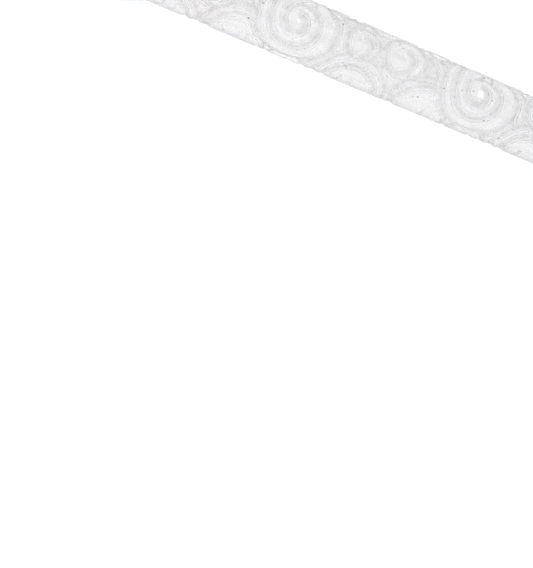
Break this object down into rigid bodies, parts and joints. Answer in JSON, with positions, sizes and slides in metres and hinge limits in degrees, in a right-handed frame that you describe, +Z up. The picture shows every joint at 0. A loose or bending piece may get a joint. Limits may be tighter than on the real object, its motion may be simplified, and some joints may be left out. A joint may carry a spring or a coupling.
{
  "type": "acrylic rolling pin",
  "caption": "Slim clear acrylic rolling pin with layered spiral swirls sunk into its thick-walled hollow barrel, plain ends and push-in end plugs.",
  "frame": {"origin": "middle of the pin, on the axis of its barrel", "axes": "+X along the barrel's axis towards the right end plug, +Z up, a flat side of the faceted barrel down"},
  "size_m": [0.1604, 0.0198, 0.0198],
  "materials": {
    "clear_acrylic": "moulded clear acrylic, polished lands with fine scuffs, refractive index 1.49",
    "soft_plastic": "translucent natural soft polyethylene, satin moulded skin"
  },
  "bodies": {
    "barrel": {"barrel": "clear_acrylic"},
    "left_plug": {"left_end_plug": "soft_plastic"},
    "right_plug": {"right_end_plug": "soft_plastic"}
  },
  "joints": [
    {"name": "left_plug_pull", "type": "slide", "parent": "barrel", "child": "left_plug", "axis": [-1, 0, 0], "range_m": [0, 0.013]},
    {"name": "right_plug_pull", "type": "slide", "parent": "barrel", "child": "right_plug", "axis": [1, 0, 0], "range_m": [0, 0.013]}
  ]
}
